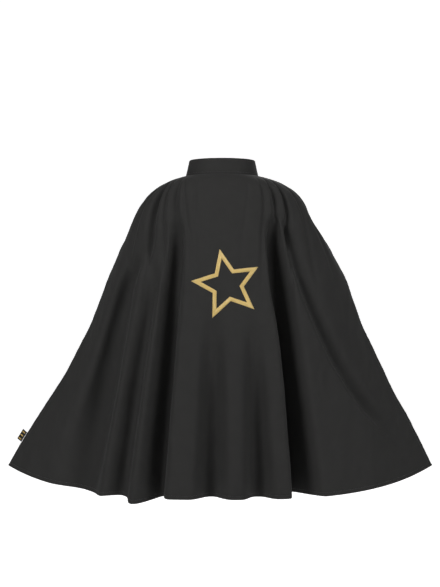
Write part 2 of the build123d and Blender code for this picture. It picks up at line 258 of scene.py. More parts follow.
def relief(q, v):
    """How far the real cloth stands off the smooth drape: crumples, pull lines, creases, sewn hem."""
    yoke, skirt = np.clip(v, 0, 1), np.clip(v - 1, 0, None)
    across = q * (NECK_SPAN + YOKE_GAIN * yoke + SKIRT_GAIN * skirt)
    down = YOKE_LENGTH * yoke + SKIRT_LENGTH * skirt
    free = smooth(v, 0.05, 0.7)
    out = 2.0 * free * noise(across / 75 + 3, down / 240 + 5, 1)
    out = out + 0.9 * free * noise(across / 30 + 9, down / 95 + 1, 2)
    out = out + 0.22 * smooth(v, 0.02, 0.3) * noise(across / 12 + 4, down / 21 + 7, 3)
    for at_neck, at_ring, deep, width in PULLS:
        line = at_neck + (at_ring - at_neck) * np.clip(v, 0, 1.4)
        fade = smooth(v, 0.05, 0.6) * smooth(v, 1.4, 0.95)
        out = out - deep * fade * np.exp(-(((q - line) / (width * (0.6 + 0.4 * v))) ** 2))
    s = v - 1
    line = 0.45 + 0.26 * s + 0.30 * s * np.abs(s)
    fade = smooth(s, -0.25, 0.15) * smooth(s, 0.95, 0.65)
    deep, width = RIGHT_CREASE
    out = out - deep * fade * np.exp(-(((q - line) / width) ** 2))
    line = -0.69 + 0.18 * smooth(s, 0.24, -0.02)
    fade = smooth(s, -0.05, 0.3) * smooth(s, 1.05, 0.6)
    deep, width = LEFT_CREASE
    out = out - deep * fade * np.exp(-(((q - line) / width) ** 2))
    from_hem, from_front = edge_distances(q, v)
    near = np.minimum(from_hem, from_front)
    along = np.where(from_hem < from_front, across, down)
    band = smooth(near, TURN + 3, TURN - 2)
    out = out + 0.30 * band * noise(along / 7.5, near / 30 + 2, 4)
    out = out - 0.28 * np.exp(-(((near - STITCH_IN) / 0.9) ** 2))
    return out


def cloth(q, v):
    """Points on the outer face of the real cloth."""
    return drape(q, v) + normals_of(drape, q, v) * relief(q, v)[..., None]


# ---------------------------------------------------------------- meshes


def new_object(name, verts, quads, material, uvs=None, sharp=None):
    """A smooth-shaded quad mesh, from vertices in millimetres."""
    mesh = bpy.data.meshes.new(name)
    mesh.vertices.add(len(verts))
    mesh.vertices.foreach_set("co", (np.asarray(verts) * MM).astype(np.float32).ravel())
    quads = np.asarray(quads, np.int32)
    mesh.loops.add(quads.size)
    mesh.loops.foreach_set("vertex_index", quads.ravel())
    mesh.polygons.add(len(quads))
    mesh.polygons.foreach_set("loop_start", np.arange(0, quads.size, 4, dtype=np.int32))
    mesh.polygons.foreach_set("use_smooth", np.ones(len(quads), bool))
    mesh.update(calc_edges=True)
    if uvs is not None:
        layer = mesh.uv_layers.new(name="UVMap")
        layer.data.foreach_set("uv", uvs[quads.ravel()].astype(np.float32).ravel())
    if sharp is not None:
        ends = np.zeros(len(mesh.edges) * 2, np.int32)
        mesh.edges.foreach_get("vertices", ends)
        marked = np.isin(ends.reshape(-1, 2), sharp).all(1)
        flag = mesh.attributes.new("sharp_edge", "BOOLEAN", "EDGE")
        flag.data.foreach_set("value", marked)
    mesh.materials.append(material)
    obj = bpy.data.objects.new(name, mesh)
    bpy.context.scene.collection.objects.link(obj)
    return obj


def grid_quads(rows, cols, first=0, flip=False):
    """Quads of a grid of vertices numbered row by row."""
    n = first + np.arange(rows * cols).reshape(rows, cols)
    a, b, c, d = n[:-1, :-1], n[1:, :-1], n[1:, 1:], n[:-1, 1:]
    quads = np.stack([a, b, c, d], -1).reshape(-1, 4)
    return quads[:, ::-1] if flip else quads


def grid_lengths(points):
    """Distance along the rows and down the columns of a grid, for use as UVs."""
    across = np.linalg.norm(np.diff(points, axis=1), axis=-1)
    down = np.linalg.norm(np.diff(points, axis=0), axis=-1)
    u = np.concatenate([np.zeros((points.shape[0], 1)), np.cumsum(across, 1)], 1)
    w = np.concatenate([np.zeros((1, points.shape[1])), np.cumsum(down, 0)], 0)
    return u, w


def sheet(name, outer, inner, material, flat=(), rounds=5, uv_from=0):
    """A closed sheet between two grids, with a rounded rim. flat lists sides with a square rim.

    uv_from is the column where the across UV is zero.
    """
    rows, cols = outer.shape[:2]
    count = rows * cols
    top = [(0, i) for i in range(cols)]
    right = [(j, cols - 1) for j in range(1, rows)]
    bottom = [(rows - 1, i) for i in range(cols - 2, -1, -1)]
    left = [(j, 0) for j in range(rows - 2, 0, -1)]
    loop = np.array(top + right + bottom + left)
    j, i = loop.T
    out_dir = np.zeros((len(loop), 3))
    sides = {
        "top": (j == 0, 1, 0),
        "bottom": (j == rows - 1, -1, 0),
        "left": (i == 0, 0, 1),
        "right": (i == cols - 1, 0, -1),
    }
    for side, (on, dj, di) in sides.items():
        if side not in flat:
            inward = outer[np.clip(j + dj, 0, rows - 1), np.clip(i + di, 0, cols - 1)]
            away = unit(outer[j, i] - inward)
            out_dir += away * on[:, None]
    length = np.linalg.norm(out_dir, axis=1, keepdims=True)
    out_dir = np.where(length > 1e-9, out_dir / np.maximum(length, 1e-9), 0)
    middle = (outer[j, i] + inner[j, i]) / 2
    half = (outer[j, i] - inner[j, i]) / 2
    reach = np.linalg.norm(half, axis=1, keepdims=True)
    verts = [outer.reshape(-1, 3), inner.reshape(-1, 3)]
    ring_ids = [loop[:, 0] * cols + loop[:, 1]]
    for k in range(1, rounds):
        angle = np.pi * k / rounds
        verts.append(middle + half * np.cos(angle) + out_dir * reach * np.sin(angle))
        ring_ids.append(2 * count + (k - 1) * len(loop) + np.arange(len(loop)))
    ring_ids.append(count + loop[:, 0] * cols + loop[:, 1])
    quads = [grid_quads(rows, cols), grid_quads(rows, cols, count, flip=True)]
    for a, b in zip(ring_ids, ring_ids[1:]):
        quads.append(np.stack([a, np.roll(a, -1), np.roll(b, -1), b], -1))
    u, w = grid_lengths(outer)
    u = u - u[:, uv_from][:, None]
    skin = np.stack([u, w], -1).reshape(-1, 2)
    rim = skin[ring_ids[0]]
    uvs = np.concatenate([skin, skin] + [rim] * (rounds - 1))
    sharp = None
    if flat:
        on_flat = np.zeros(len(loop), bool)
        for side in flat:
            on_flat |= sides[side][0]
        sharp = np.concatenate([ring_ids[0][on_flat], ring_ids[-1][on_flat]])
    return new_object(name, np.concatenate(verts), np.concatenate(quads), material, uvs, sharp)


def tubes(name, paths, ups, wide, high, material, sides=6):
    """Many closed tubes as one mesh. paths is (tubes, stations, 3) and ups matches it."""
    count, stations = paths.shape[:2]
    tangent = unit(np.gradient(paths, axis=1))
    side = unit(np.cross(tangent, ups))
    up = np.cross(side, tangent)
    angle = np.arange(sides) * 2 * np.pi / sides
    across = side[:, :, None] * (np.cos(angle) * wide)[None, None, :, None]
    above = up[:, :, None] * (np.sin(angle) * high)[None, None, :, None]
    ring = across + above
    verts = (paths[:, :, None] + ring).reshape(-1, 3)
    one = []
    for s in range(stations - 1):
        for k in range(sides):
            n = (k + 1) % sides
            one.append((s * sides + k, s * sides + n, (s + 1) * sides + n, (s + 1) * sides + k))
    last = (stations - 1) * sides
    for k in range(1, sides - 2, 2):
        one.append((0, k + 2 if k + 2 < sides else 0, k + 1, k))
        one.append((last, last + k, last + k + 1, last + k + 2))
    one = np.array(one)
    if np.linalg.det(np.stack([side[0, 0], up[0, 0], tangent[0, 0]])) > 0:
        one = one[:, ::-1]
    quads = (one[None] + (np.arange(count) * stations * sides)[:, None, None]).reshape(-1, 4)
    length = np.concatenate([[0], np.cumsum(np.linalg.norm(np.diff(paths[0], axis=0), axis=1))])
    around = (np.arange(count) * 1.7)[:, None, None] + np.arange(sides)[None, None] * 0.2
    uvs = np.stack(np.broadcast_arrays(around, length[None, :, None]), -1).reshape(-1, 2)
    return new_object(name, verts, quads, material, uvs)


def stitch_paths(point, normal, total, pitch, length, lift):
    """Stitches laid end to end: point(d) and normal(d) give the seam line at distance d."""
    centres = np.arange(pitch / 2, total - pitch / 2, pitch)
    wobble = np.random.default_rng(SEED).uniform(-0.12, 0.12, len(centres))
    along = np.linspace(-0.5, 0.5, 5)
    d = centres[:, None] + wobble[:, None] + along[None] * length
    n = normal(d)
    height = np.array([-STITCH_SINK, lift * 0.8, lift, lift * 0.8, -STITCH_SINK])
    return point(d) + n * height[None, :, None], n


def seam_on_cloth(q_line, v_line, offset):
    """A seam line on the cloth through (q, v) points: its length, and point and normal by distance."""
    points = cloth(q_line, v_line)
    steps = np.linalg.norm(np.diff(points, axis=0), axis=1)
    dist = np.concatenate([[0], np.cumsum(steps)])

    def qv(d):
        return np.interp(d, dist, q_line), np.interp(d, dist, v_line)

    def normal(d):
        q, v = qv(d)
        return normals_of(cloth, q, v)

    def point(d):
        q, v = qv(d)
        return cloth(q, v) + normals_of(cloth, q, v) * offset

    return dist[-1], point, normal


# ---------------------------------------------------------------- materials


def nodes_of(name):
    """A new node material: (material, nodes, links, Principled shader)."""
    material = bpy.data.materials.new(name)
    material.use_nodes = True
    tree = material.node_tree
    return material, tree.nodes, tree.links, tree.nodes["Principled BSDF"]


def add(nodes, kind, **settings):
    """A node with its settings and inputs filled in."""
    node = nodes.new(kind)
    for key, value in settings.items():
        if key in node.inputs.keys():
            node.inputs[key].default_value = value
        else:
            setattr(node, key, value)
    return node


def fabric(name, dark, light, rib_mm, rough=0.8, sheen=0.3, bump=0.12, mottle=0.035, weave="DIAGONAL"):
    """Woven cloth: two crossing rib patterns for the weave, slow colour drift, faint lint and sheen."""
    material, nodes, links, shader = nodes_of(name)
    uv = add(nodes, "ShaderNodeUVMap", uv_map="UVMap")
    drift = add(nodes, "ShaderNodeTexNoise", Scale=mottle, Detail=5.0, Roughness=0.6)
    links.new(uv.outputs["UV"], drift.inputs["Vector"])
    fibres = add(nodes, "ShaderNodeTexNoise", Scale=2.2, Detail=3.0)
    links.new(uv.outputs["UV"], fibres.inputs["Vector"])
    twill = add(nodes, "ShaderNodeTexWave", wave_type="BANDS", bands_direction=weave, Scale=0.32 / rib_mm)
    twill.inputs["Distortion"].default_value = 0.6
    links.new(uv.outputs["UV"], twill.inputs["Vector"])
    yarn = add(nodes, "ShaderNodeTexWave", wave_type="BANDS", bands_direction="X", Scale=0.32 / rib_mm)
    links.new(uv.outputs["UV"], yarn.inputs["Vector"])
    weave_height = add(nodes, "ShaderNodeMath", operation="MULTIPLY_ADD")
    links.new(yarn.outputs["Fac"], weave_height.inputs[0])
    weave_height.inputs[1].default_value = 0.45
    links.new(twill.outputs["Fac"], weave_height.inputs[2])
    height = add(nodes, "ShaderNodeMath", operation="MULTIPLY_ADD")
    links.new(fibres.outputs["Fac"], height.inputs[0])
    height.inputs[1].default_value = 0.8
    links.new(weave_height.outputs[0], height.inputs[2])
    tone = add(nodes, "ShaderNodeMix", data_type="RGBA")
    tone.inputs[6].default_value = (*dark, 1)
    tone.inputs[7].default_value = (*light, 1)
    links.new(drift.outputs["Fac"], tone.inputs[0])
    lint = add(nodes, "ShaderNodeValToRGB")
    lint.color_ramp.elements[0].position = 0.70
    lint.color_ramp.elements[1].position = 0.78
    links.new(fibres.outputs["Fac"], lint.inputs["Fac"])
    worn = add(nodes, "ShaderNodeMix", data_type="RGBA", blend_type="ADD")
    amount = add(nodes, "ShaderNodeMath", operation="MULTIPLY")
    amount.inputs[1].default_value = 0.012
    links.new(lint.outputs["Color"], amount.inputs[0])
    links.new(amount.outputs[0], worn.inputs[0])
    links.new(tone.outputs[2], worn.inputs[6])
    worn.inputs[7].default_value = (1, 1, 1, 1)
    links.new(worn.outputs[2], shader.inputs["Base Color"])
    bumps = add(nodes, "ShaderNodeBump", Strength=bump, Distance=0.0002)
    links.new(height.outputs[0], bumps.inputs["Height"])
    links.new(bumps.outputs["Normal"], shader.inputs["Normal"])
    shader.inputs["Roughness"].default_value = rough
    shader.inputs["Specular IOR Level"].default_value = 0.25
    shader.inputs["Sheen Weight"].default_value = sheen
    shader.inputs["Sheen Roughness"].default_value = 0.45
    return material


def thread(name, colour, shade, rough=0.45, twist=1.4, sheen=0.2):
    """Spun thread: fine slanted plies along its length and a slow change of tone."""
    material, nodes, links, shader = nodes_of(name)
    uv = add(nodes, "ShaderNodeUVMap", uv_map="UVMap")
    plies = add(nodes, "ShaderNodeTexWave", wave_type="BANDS", bands_direction="DIAGONAL", Scale=twist)
    links.new(uv.outputs["UV"], plies.inputs["Vector"])
    drift = add(nodes, "ShaderNodeTexNoise", Scale=0.35, Detail=2.0)
    links.new(uv.outputs["UV"], drift.inputs["Vector"])
    tone = add(nodes, "ShaderNodeMix", data_type="RGBA")
    tone.inputs[6].default_value = (*shade, 1)
    tone.inputs[7].default_value = (*colour, 1)
    links.new(drift.outputs["Fac"], tone.inputs[0])
    links.new(tone.outputs[2], shader.inputs["Base Color"])
    bumps = add(nodes, "ShaderNodeBump", Strength=0.15, Distance=0.0001)
    links.new(plies.outputs["Fac"], bumps.inputs["Height"])
    links.new(bumps.outputs["Normal"], shader.inputs["Normal"])
    shader.inputs["Roughness"].default_value = rough
    shader.inputs["Sheen Weight"].default_value = sheen
    shader.inputs["Anisotropic"].default_value = 0.4
    return material


def woven_bars(name):
    """Dark damask label with plain gold bars woven across it."""
    material = fabric(name, (0.010, 0.010, 0.010), (0.018, 0.018, 0.018), 0.35, rough=0.55, sheen=0.1)
    nodes, links = material.node_tree.nodes, material.node_tree.links
    shader = nodes["Principled BSDF"]
    uv = add(nodes, "ShaderNodeUVMap", uv_map="UVMap")
    split = add(nodes, "ShaderNodeSeparateXYZ")
    links.new(uv.outputs["UV"], split.inputs[0])
    wave = add(nodes, "ShaderNodeMath", operation="PINGPONG")
    links.new(split.outputs["X"], wave.inputs[0])
    wave.inputs[1].default_value = 3.4
    bar = add(nodes, "ShaderNodeMath", operation="GREATER_THAN")
    links.new(wave.outputs[0], bar.inputs[0])
    bar.inputs[1].default_value = 2.3
    reach = add(nodes, "ShaderNodeMath", operation="PINGPONG")
    links.new(split.outputs["Y"], reach.inputs[0])
    reach.inputs[1].default_value = LABEL_REACH / 2
    inside = add(nodes, "ShaderNodeMath", operation="GREATER_THAN")
    links.new(reach.outputs[0], inside.inputs[0])
    inside.inputs[1].default_value = 3.0
    both = add(nodes, "ShaderNodeMath", operation="MULTIPLY")
    links.new(bar.outputs[0], both.inputs[0])
    links.new(inside.outputs[0], both.inputs[1])
    ground = shader.inputs["Base Color"].links[0].from_socket
    mix = add(nodes, "ShaderNodeMix", data_type="RGBA")
    links.new(both.outputs[0], mix.inputs[0])
    links.new(ground, mix.inputs[6])
    mix.inputs[7].default_value = (0.62, 0.42, 0.13, 1)
    links.new(mix.outputs[2], shader.inputs["Base Color"])
    return material


CAPE = fabric("cape_twill", (0.0240, 0.0236, 0.0228), (0.0330, 0.0325, 0.0314), 0.55, rough=0.8, sheen=0.06)
TAPE = fabric("tape_twill", (0.012, 0.012, 0.012), (0.020, 0.020, 0.020), 0.8, rough=0.7, weave="Y")
DARK_THREAD = thread("dark_thread", (0.030, 0.030, 0.029), (0.016, 0.016, 0.016), rough=0.5)
GOLD_THREAD = thread("gold_satin_thread", (0.86, 0.66, 0.25), (0.74, 0.49, 0.14), rough=0.33, sheen=0.35)
DULL_THREAD = thread("bobbin_thread", (0.30, 0.29, 0.27), (0.20, 0.19, 0.18), rough=0.6)
FELT_DARK, FELT_LIGHT = (0.045, 0.045, 0.045), (0.075, 0.075, 0.075)
BACKING = fabric("backing_felt", FELT_DARK, FELT_LIGHT, 0.9, rough=0.95, sheen=0.1, bump=0.3)
LABEL = woven_bars("woven_label")
CARE = fabric("care_satin", (0.70, 0.70, 0.68), (0.80, 0.80, 0.78), 0.3, rough=0.4, sheen=0.1, weave="Y")
HOOKS = thread("hook_tape_plastic", (0.022, 0.022, 0.022), (0.014, 0.014, 0.014), rough=0.35)
PILE = thread("loop_tape_pile", (0.030, 0.030, 0.030), (0.018, 0.018, 0.018), rough=0.9, sheen=0.6)


# ---------------------------------------------------------------- transforms baked into soft pieces


def bend_with_wing(obj):
    """Bakes obj's placement into its mesh; no bending between the back and a wing is set up here."""
    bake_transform(obj)


def bend_with_end(obj):
    """Bakes obj's placement into its mesh; no bending between the back and a free collar end is set up
    here.
    """
    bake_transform(obj)


# ---------------------------------------------------------------- the cloth shell


def edge_spaced(total, count):
    """Distances from a free edge: close together over the sewn hem, then even."""
    hem = [0, 0.4, 1.2, 2.4, 3.8, 5.0, 5.8, 6.5, 7.2, 8.2]
    hem += [TURN - 0.5, TURN, TURN + 0.4, TURN + 1.5, TURN + 3.5]
    rest = np.linspace(hem[-1], total, count - len(hem) + 1)[1:]
    return np.concatenate([hem, rest])


def shell_half(side, columns, yoke_rows, skirt_rows):
    """Half the shell, with its turned hem, as one closed sheet."""
    v_yoke = np.linspace(0, 1, yoke_rows, endpoint=False)
    v_skirt = 2 - edge_spaced(HEM_RUN, skirt_rows)[::-1] / HEM_RUN
    v = np.concatenate([v_yoke, v_skirt])
    q = np.stack([1 - edge_spaced(s, columns) / s for s in edge_speed(v)]) * side
    if side > 0:
        q = q[:, ::-1]
    grid_v = np.broadcast_to(v[:, None], q.shape)
    outer = cloth(q, grid_v)
    n = normals_of(cloth, q, grid_v)
    from_hem, from_front = edge_distances(q, grid_v)
    near = np.minimum(from_hem, from_front)
    turned = smooth(near, TURN + 0.35, TURN - 0.05)
    inner = outer - n * (THICK + TURN_THICK * turned)[..., None]
    name = "cape_shell_left" if side < 0 else "cape_shell_right"
    flat = ("right",) if side < 0 else ("left",)
    obj = sheet(name, outer, inner, CAPE, flat=flat, uv_from=-1 if side < 0 else 0)
    bend_with_wing(obj)
    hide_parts("shell_back", "shell_left_wing" if side < 0 else "shell_right_wing")


def hem_stitching(side):
    """Topstitches on both faces of the turned hem: along the hem, then up the front edge."""
    label = "left" if side < 0 else "right"
    v_front = np.linspace(2 - STITCH_IN / HEM_RUN, 0.03, 160)
    q_front = side * (1 - STITCH_IN / edge_speed(v_front))
    q_hem = np.linspace(0, q_front[0], 500)
    v_hem = np.full_like(q_hem, 2 - STITCH_IN / HEM_RUN)
    for face, sign, offset in (("outer", 1, 0.0), ("inner", -1, -(THICK + TURN_THICK))):
        paths = []
        ups = []
        for q_line, v_line in ((q_hem, v_hem), (q_front, v_front)):
            total, point, normal = seam_on_cloth(q_line, v_line, offset)

            def facing(d, normal=normal, sign=sign):
                return sign * normal(d)

            p, n = stitch_paths(point, facing, total, STITCH_PITCH, STITCH_LENGTH, STITCH_LIFT)
            paths.append(p)
            ups.append(n)
        name = f"hem_stitches_{face}_{label}"
        obj = tubes(name, np.concatenate(paths), np.concatenate(ups), 0.26, 0.20, DARK_THREAD)
        bend_with_wing(obj)
        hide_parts("hem_thread_back", f"hem_thread_{label}")


# ---------------------------------------------------------------- the collar


def end_step(deg, side):
    """How far the collar steps out (left end) or in (right end) at an angle."""
    return -side * END_STEP * smooth(np.abs(deg), STEP_START, STEP_STOP)


def collar(deg, z, depth):
    """A point of the collar at an angle round the neck, a height and a depth below the outer face."""
    deg, z, depth = np.broadcast_arrays(deg, z, depth)
    side = np.where(deg < 0, -1, 1)
    soft = 0.35 * noise(deg / 21 + 5, z / 24 + 3, 11) * smooth(z, 2, 14) * smooth(np.abs(deg), 150, 120)
    r = COLLAR_R - COLLAR_LEAN * z - depth + end_step(deg, side) + soft
    a = np.radians(deg)
    return np.stack([r * np.sin(a), -r * np.cos(a), z], -1)


def collar_out(a, sign):
    """Normals of the collar's outer face (sign 1) or inner face (sign -1) at angles in radians."""
    return sign * np.stack([np.sin(a), -np.cos(a), np.full_like(a, COLLAR_LEAN)], -1)


def collar_half(side):
    """Half the collar band: shell fabric outside and in."""
    degrees = np.linspace(0, END_TIP - 1.0, 190) * side
    if side < 0:
        degrees = degrees[::-1]
    top = COLLAR_TOP - 1.3
    below_top = [top, top - 0.3, top - 0.7, *np.linspace(top - 1.2, top - 3.1, 7)]
    above_foot = np.linspace(top - 3.7, 5, 18)
    z = np.concatenate([below_top, above_foot, np.linspace(4.6, 2.2, 7), [1.2, 0.2]])
    grid_deg, grid_z = np.meshgrid(degrees, z)
    groove = sum(0.30 * np.exp(-(((grid_z - row) / 0.6) ** 2)) for row in COLLAR_ROWS)
    ripple = smooth(grid_z, top - 5.7, top - 1.7) + smooth(grid_z, 7, 3)
    ripple = 0.10 * noise(grid_deg / 4, grid_z / 9, 12) * ripple
    outer = collar(grid_deg, grid_z, groove - ripple)
    inner = collar(grid_deg, grid_z, COLLAR_THICK - groove * 0.8 + ripple)
    label = "left" if side < 0 else "right"
    flat = ("right",) if side < 0 else ("left",)
    uv_from = -1 if side < 0 else 0
    obj = sheet(f"collar_{label}", outer, inner, CAPE, flat=flat, rounds=9, uv_from=uv_from)
    bend_with_end(obj)
    nodes = []
    for layer in ("outer", "interlining", "facing"):
        nodes += [f"collar_{layer}_back", f"collar_{layer}_{label}_end"]
    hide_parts(*nodes)


def collar_stitching(side):
    """Topstitches on both faces of half the collar: along its top and foot, then up its free end."""
    label = "left" if side < 0 else "right"
    last_deg = END_TIP - 4.0
    paths = []
    ups = []
    for height in COLLAR_ROWS:
        for depth, sign in ((0.30, 1), (COLLAR_THICK - 0.24, -1)):

            def point(d, height=height, depth=depth):
                return collar(side * np.degrees(d / COLLAR_MID_R), height, depth)

            def normal(d, sign=sign):
                return collar_out(side * d / COLLAR_MID_R, sign)

            total = np.radians(last_deg) * COLLAR_MID_R
            p, n = stitch_paths(point, normal, total, COLLAR_PITCH, COLLAR_STITCH, COLLAR_LIFT)
            paths.append(p)
            ups.append(n)
    for depth, sign in ((0.0, 1), (COLLAR_THICK, -1)):

        def end_point(d, depth=depth):
            return collar(np.full_like(d, side * last_deg), 5.0 + d, depth)

        def end_normal(d, sign=sign):
            return collar_out(np.full_like(d, np.radians(side * last_deg)), sign)

        total = COLLAR_TOP - 10
        p, n = stitch_paths(end_point, end_normal, total, COLLAR_PITCH, COLLAR_STITCH, COLLAR_LIFT)
        paths.append(p)
        ups.append(n)
    name = f"collar_stitches_{label}"
    obj = tubes(name, np.concatenate(paths), np.concatenate(ups), 0.25, 0.20, DARK_THREAD)
    bend_with_end(obj)
    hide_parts("collar_thread")


def neck_tape():
    """The woven tape that covers the neck seam inside, with a line of stitches near each edge."""
    degrees = np.linspace(-NECK_TAPE_DEG, NECK_TAPE_DEG, 240)
    z = np.linspace(5.6, -6.6, 14)
    grid_deg, grid_z = np.meshgrid(degrees, z)
    ripple = 0.12 * noise(grid_deg / 3.1, grid_z / 6, 21)
    outer = collar(grid_deg, grid_z, 2.72 - ripple * 0.3)
    inner = collar(grid_deg, grid_z, 3.18 - ripple)
    obj = sheet("neck_seam_tape", outer, inner, TAPE, uv_from=120)
    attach(obj, "back")
    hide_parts("neck_tape")
    paths = []
    ups = []
    for height in (4.2, -5.2):

        def point(d, height=height):
            return collar(np.degrees(d / COLLAR_MID_R - NECK_TAPE_END), height, 3.2)

        def normal(d):
            return collar_out(d / COLLAR_MID_R - NECK_TAPE_END, -1)

        total = 2 * NECK_TAPE_END * COLLAR_MID_R
        p, n = stitch_paths(point, normal, total, COLLAR_PITCH, COLLAR_STITCH, COLLAR_LIFT)
        paths.append(p)
        ups.append(n)
    ups = np.concatenate(ups)
    obj = tubes("neck_tape_stitches", np.concatenate(paths), ups, 0.24, 0.18, DARK_THREAD)
    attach(obj, "back")


def closure_tapes():
    """Hook tape on the under end and loop tape on the over end."""
    z_low, z_high = TAPE_Z
    d_low, d_high = TAPE_DEG
    rng = np.random.default_rng(SEED + 5)
    for side, body, node, name in (
        (-1, "left_collar_end", "loop_tape", "closure_loop_tape"),
        (1, "right_collar_end", "hook_tape", "closure_hook_tape"),
    ):
        degrees = np.linspace(d_low + 0.5, d_high - 0.5, 36) * side
        if side < 0:
            degrees = degrees[::-1]
        z = np.linspace(z_high - 0.4, z_low + 0.4, 28)
        grid_deg, grid_z = np.meshgrid(degrees, z)
        top, base = (COLLAR_THICK + 0.06, COLLAR_THICK + 0.55) if side < 0 else (-0.50, -0.04)
        material = PILE if side < 0 else HOOKS
        obj = sheet(name, collar(grid_deg, grid_z, top), collar(grid_deg, grid_z, base), material)
        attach(obj, body)
        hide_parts(node)
        columns, rows = (21, 18) if side < 0 else (19, 16)
        degrees = np.linspace(d_low + 2.2, d_high - 2.2, columns)
        grid_deg, grid_z = np.meshgrid(degrees, np.linspace(z_low + 2, z_high - 2, rows))
        a = grid_deg.ravel() * side
        h = grid_z.ravel()
        if side < 0:
            a = a + rng.uniform(-0.5, 0.5, a.size)
            h = h + rng.uniform(-0.5, 0.5, h.size)
            turn = rng.uniform(0, np.pi, a.size)
            depths = COLLAR_THICK + np.array([0.45, 0.85, 1.0, 0.85, 0.45])
            spread = np.array([-0.55, -0.45, 0.0, 0.45, 0.55])
            radius = 0.09
        else:
            turn = np.full(a.size, np.pi / 2)
            depths = np.array([-0.40, -0.72, -0.90, -0.86, -0.66])
            spread = np.array([-0.25, -0.22, 0.05, 0.35, 0.42])
            radius = 0.11
        deg = a[:, None] + spread[None] * np.cos(turn)[:, None]
        height = h[:, None] + spread[None] * np.sin(turn)[:, None]
        paths = collar(deg, height, depths[None])
        ups = np.zeros_like(paths)
        ups[..., 0] = np.cos(turn)[:, None]
        ups[..., 2] = 0.3
        obj = tubes(name + "_fibres", paths, ups, radius, radius, material, sides=4)
        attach(obj, body)


# ---------------------------------------------------------------- the emblem


def locate(x, z):
    """The (q, v) of the cloth where it has that x and z, seen from behind."""
    q = x / 260.0
    v = 1 + (RING_Z - z) / 480.0
    v = np.where(v < 1, 0.35 + 0.65 * v, v)
    for _ in range(14):
        e = 1e-3
        p = drape(q, v)
        pq = (drape(q + e, v) - drape(q - e, v)) / (2 * e)
        pv = (drape(q, v + e) - drape(q, v - e)) / (2 * e)
        dx = x - p[..., 0]
        dz = z - p[..., 2]
        det = pq[..., 0] * pv[..., 2] - pv[..., 0] * pq[..., 2]
        q = q + np.clip((dx * pv[..., 2] - dz * pv[..., 0]) / det, -0.1, 0.1)
        v = v + np.clip((dz * pq[..., 0] - dx * pq[..., 2]) / det, -0.1, 0.1)
    return q, v


def star_corner(k, radius):
    """Corner k of ten of the star, in the XZ plane. Even corners are the points."""
    r = radius * (1.0 if k % 2 == 0 else STAR_INNER)
    a = np.radians(36 * k + STAR_TILT)
    return np.array([STAR_X + r * np.sin(a), STAR_Z + r * np.cos(a)])


def star_threads():
    """Satin stitches laid across the star's outline, edge by edge."""
    rng = np.random.default_rng(SEED + 9)
    starts = []
    stops = []
    for k in range(10):
        o0, o1 = star_corner(k, STAR_R), star_corner(k + 1, STAR_R)
        i0, i1 = star_corner(k, INNER_R), star_corner(k + 1, INNER_R)
        count = int(np.linalg.norm(o1 - o0) / SATIN_PITCH)
        t = (np.arange(count) + 0.5) / count
        starts.append(o0 + (o1 - o0) * t[:, None])
        stops.append(i0 + (i1 - i0) * t[:, None])
    starts = np.concatenate(starts)
    stops = np.concatenate(stops)
    starts = starts + rng.uniform(-0.12, 0.12, starts.shape)
    stops = stops + rng.uniform(-0.12, 0.12, stops.shape)
    t = np.linspace(0, 1, 9)
    flat = starts[:, None] + (stops - starts)[:, None] * t[None, :, None]
    q, v = locate(flat[..., 0], flat[..., 1])
    n = normals_of(cloth, q, v)
    rise = np.array([-0.15, 0.36, 0.56, 0.66, 0.70, 0.66, 0.56, 0.36, -0.15])
    rise = rise[None] + rng.uniform(-0.03, 0.03, (len(flat), 1))
    paths = cloth(q, v) + n * rise[..., None]
    obj = tubes("star_satin_stitches", paths, n, 0.27, 0.22, GOLD_THREAD)
    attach(obj, "back")
    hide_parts("emblem_satin_stitch")
    bobbin = paths - n * (rise + 1.62)[..., None]
    obj = tubes("star_bobbin_stitches", bobbin[::2, 1:-1], -n[::2, 1:-1], 0.22, 0.16, DULL_THREAD)
    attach(obj, "back")


def star_padding():
    """The flat underlay that fills the star's outline below the satin stitches."""
    rows = []
    for share in np.linspace(0.06, 0.94, 6):
        line = []
        for k in range(10):
            o0, o1 = star_corner(k, STAR_R), star_corner(k + 1, STAR_R)
            i0, i1 = star_corner(k, INNER_R), star_corner(k + 1, INNER_R)
            a = o0 + (i0 - o0) * share
            b = o1 + (i1 - o1) * share
            line.append(a + (b - a) * np.linspace(0, 1, 24, endpoint=False)[:, None])
        line = np.concatenate(line)
        rows.append(np.concatenate([line, line[:1]]))
    flat = np.stack(rows)
    q, v = locate(flat[..., 0], flat[..., 1])
    n = normals_of(cloth, q, v)
    top = cloth(q, v) + n * np.array([0.10, 0.38, 0.46, 0.46, 0.38, 0.10])[:, None, None]
    obj = sheet("star_underlay", top, cloth(q, v) - n * 0.05, GOLD_THREAD, rounds=2)
    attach(obj, "back")


def backing():
    """The thin round backing that carries the embroidery inside, trimmed by hand."""
    around = np.linspace(0, 2 * np.pi, 120)
    shares = np.linspace(1, 0.02, 16)
    trim = 1 + 0.012 * noise(around / 0.35, np.zeros_like(around), 31)
    trim[-1] = trim[0]
    r = BACKING_R * shares[:, None] * trim[None]
    x = STAR_X + r * np.sin(around)[None]
    z = STAR_Z + r * np.cos(around)[None]
    q, v = locate(x, z)
    n = normals_of(cloth, q, v)
    base = cloth(q, v)
    obj = sheet("emblem_backing_disc", base - n * 0.98, base - n * 1.38, BACKING, rounds=3)
    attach(obj, "back")
    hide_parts("emblem_backing")


# ---------------------------------------------------------------- labels and loop


def strip(name, centre, across, thick, width, gauge, material, body):
    """A thin tape: centre is its line, across its width direction, thick its face direction."""
    cols = np.linspace(-width / 2, width / 2, 12)
    outer = centre[:, None] + across[:, None] * cols[None, :, None] + thick[:, None] * gauge / 2
    inner = outer - thick[:, None] * gauge
    facing = np.cross(outer[1, 0] - outer[0, 0], outer[0, 1] - outer[0, 0])
    if facing @ thick[0] < 0:
        outer, inner = outer[:, ::-1], inner[:, ::-1]
    obj = sheet(name, outer, inner, material, rounds=3)
    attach(obj, body)
    return obj


